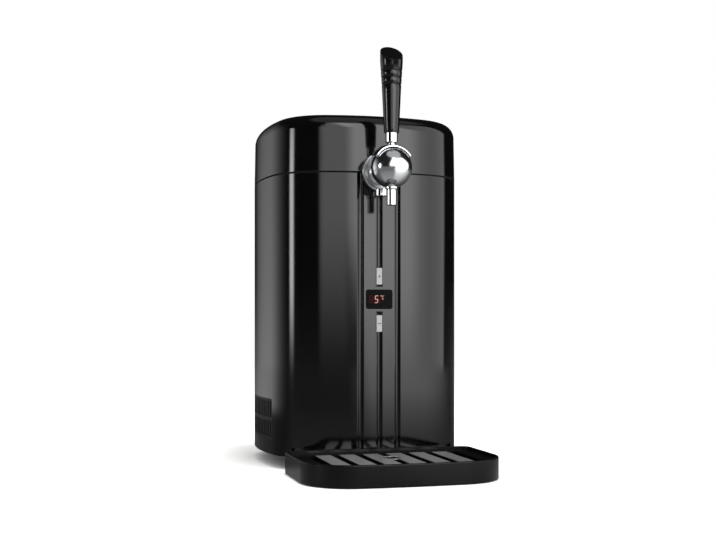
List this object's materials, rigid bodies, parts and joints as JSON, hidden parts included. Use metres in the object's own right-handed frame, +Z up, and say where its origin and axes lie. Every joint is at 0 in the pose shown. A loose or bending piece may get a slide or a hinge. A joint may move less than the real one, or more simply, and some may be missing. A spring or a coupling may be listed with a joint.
{
  "type": "mini keg beer dispenser",
  "caption": "Counter-top cooled dispenser for a 5 litre keg: hinged lid, chrome ball tap with a tall handle, temperature keys and display, slide-out drip tray with a grille.",
  "frame": {"origin": "on the floor at the centre of the whole object's footprint", "axes": "+Z up, +Y from the drip tray to the back, +X to the right as one faces the tap"},
  "size_m": [0.258, 0.4167, 0.5204],
  "materials": {
    "gloss_black": "gloss black moulded ABS",
    "satin_black": "fine-textured black ABS",
    "grip_black": "satin black phenolic-look plastic",
    "dark_plastic": "moulded black polyamide, inside",
    "grey_plastic": "light grey moulded ABS, inside the lid and mouth",
    "chrome": "polished chrome on brass",
    "steel": "brushed stainless steel",
    "zinc_steel": "bright zinc-plated steel",
    "aluminium": "drawn or extruded aluminium",
    "brass": "plain turned brass",
    "rubber": "black rubber",
    "foam": "white expanded foam",
    "ceramic": "white alumina ceramic",
    "circuit_board": "green solder mask on glass laminate",
    "window": "smoked acrylic",
    "silver_key": "silver-painted key",
    "seal": "soft silicone seal"
  },
  "bodies": {
    "housing": {"body_shell": "gloss_black", "side_vents": "gloss_black", "base_pan": "satin_black", "base_screws": "zinc_steel", "feet": "rubber", "foot_screws": "zinc_steel", "bulkhead": "dark_plastic", "keg_liner": "aluminium", "chamber_insulation": "foam", "temperature_sensor": "aluminium", "top_deck": "grey_plastic", "cold_block": "aluminium", "peltier_module": "ceramic", "heat_sink": "aluminium", "fan_frame": "dark_plastic", "fan_screws": "zinc_steel", "supply_board": "circuit_board", "supply_parts": "dark_plastic", "rear_cover": "satin_black", "rear_cover_screws": "zinc_steel", "mains_inlet": "dark_plastic", "inlet_pins": "brass", "switch_frame": "dark_plastic", "display_window": "window", "digit_display": "dark_plastic", "display_carrier": "dark_plastic", "control_board": "circuit_board", "key_switches": "dark_plastic", "hinge_pins": "steel", "tap_flange": "chrome", "flange_gasket": "rubber", "tap_lock_nut": "chrome", "tap_body": "chrome", "tap_shank": "chrome", "shank_grommet": "rubber", "shank_washer": "steel", "shank_nut": "brass", "hose_tail": "brass", "spout": "chrome", "lever_pin": "steel"},
    "lid": {"lid_shell": "gloss_black", "lid_liner": "grey_plastic", "lid_foam": "foam", "lid_gasket": "seal"},
    "handle": {"handle_lever": "steel", "handle_saddle": "chrome", "handle_ferrule": "chrome", "handle_insert": "brass", "tap_handle": "grip_black"},
    "valve": {"valve_piston": "steel", "valve_seals": "seal"},
    "plus_key": {"plus_button": "silver_key"},
    "minus_key": {"minus_button": "silver_key"},
    "fan": {"fan_rotor": "dark_plastic"},
    "rocker": {"switch_rocker": "dark_plastic"},
    "tray": {"drip_tray": "satin_black"},
    "grille": {"drip_grille": "satin_black", "grille_strips": "steel"}
  },
  "joints": [
    {"name": "lid_hinge", "type": "hinge", "parent": "housing", "child": "lid", "pos_m": [0, 0.20335, 0.373], "axis": [-1, 0, 0], "range_deg": [0, 100]},
    {"name": "tap_lever", "type": "hinge", "parent": "housing", "child": "handle", "pos_m": [0, -0.11425, 0.3718], "axis": [1, 0, 0], "range_deg": [0, 18]},
    {"name": "valve_slide", "type": "slide", "parent": "housing", "child": "valve", "axis": [0, 1, 0], "range_m": [0, 0.0043]},
    {"name": "plus_press", "type": "slide", "parent": "housing", "child": "plus_key", "axis": [0, 1, 0], "range_m": [0, 0.0007], "stiffness_N_per_m": 800},
    {"name": "minus_press", "type": "slide", "parent": "housing", "child": "minus_key", "axis": [0, 1, 0], "range_m": [0, 0.0007], "stiffness_N_per_m": 800},
    {"name": "fan_spin", "type": "hinge", "parent": "housing", "child": "fan", "pos_m": [0, 0.06575, 0.0325], "axis": [0, 0, 1], "continuous": true},
    {"name": "switch_tilt", "type": "hinge", "parent": "housing", "child": "rocker", "pos_m": [0.024, 0.19715, 0.055], "axis": [-1, 0, 0], "range_deg": [0, 12]},
    {"name": "tray_slide", "type": "slide", "parent": "housing", "child": "tray", "axis": [0, -1, 0], "range_m": [0, 0.06]},
    {"name": "grille_lift", "type": "slide", "parent": "tray", "child": "grille", "axis": [0, 0, 1], "range_m": [0, 0.04]}
  ],
  "couplings": [
    {"joint": "valve_slide", "follows": "tap_lever", "m_per_rad": 0.006}
  ]
}
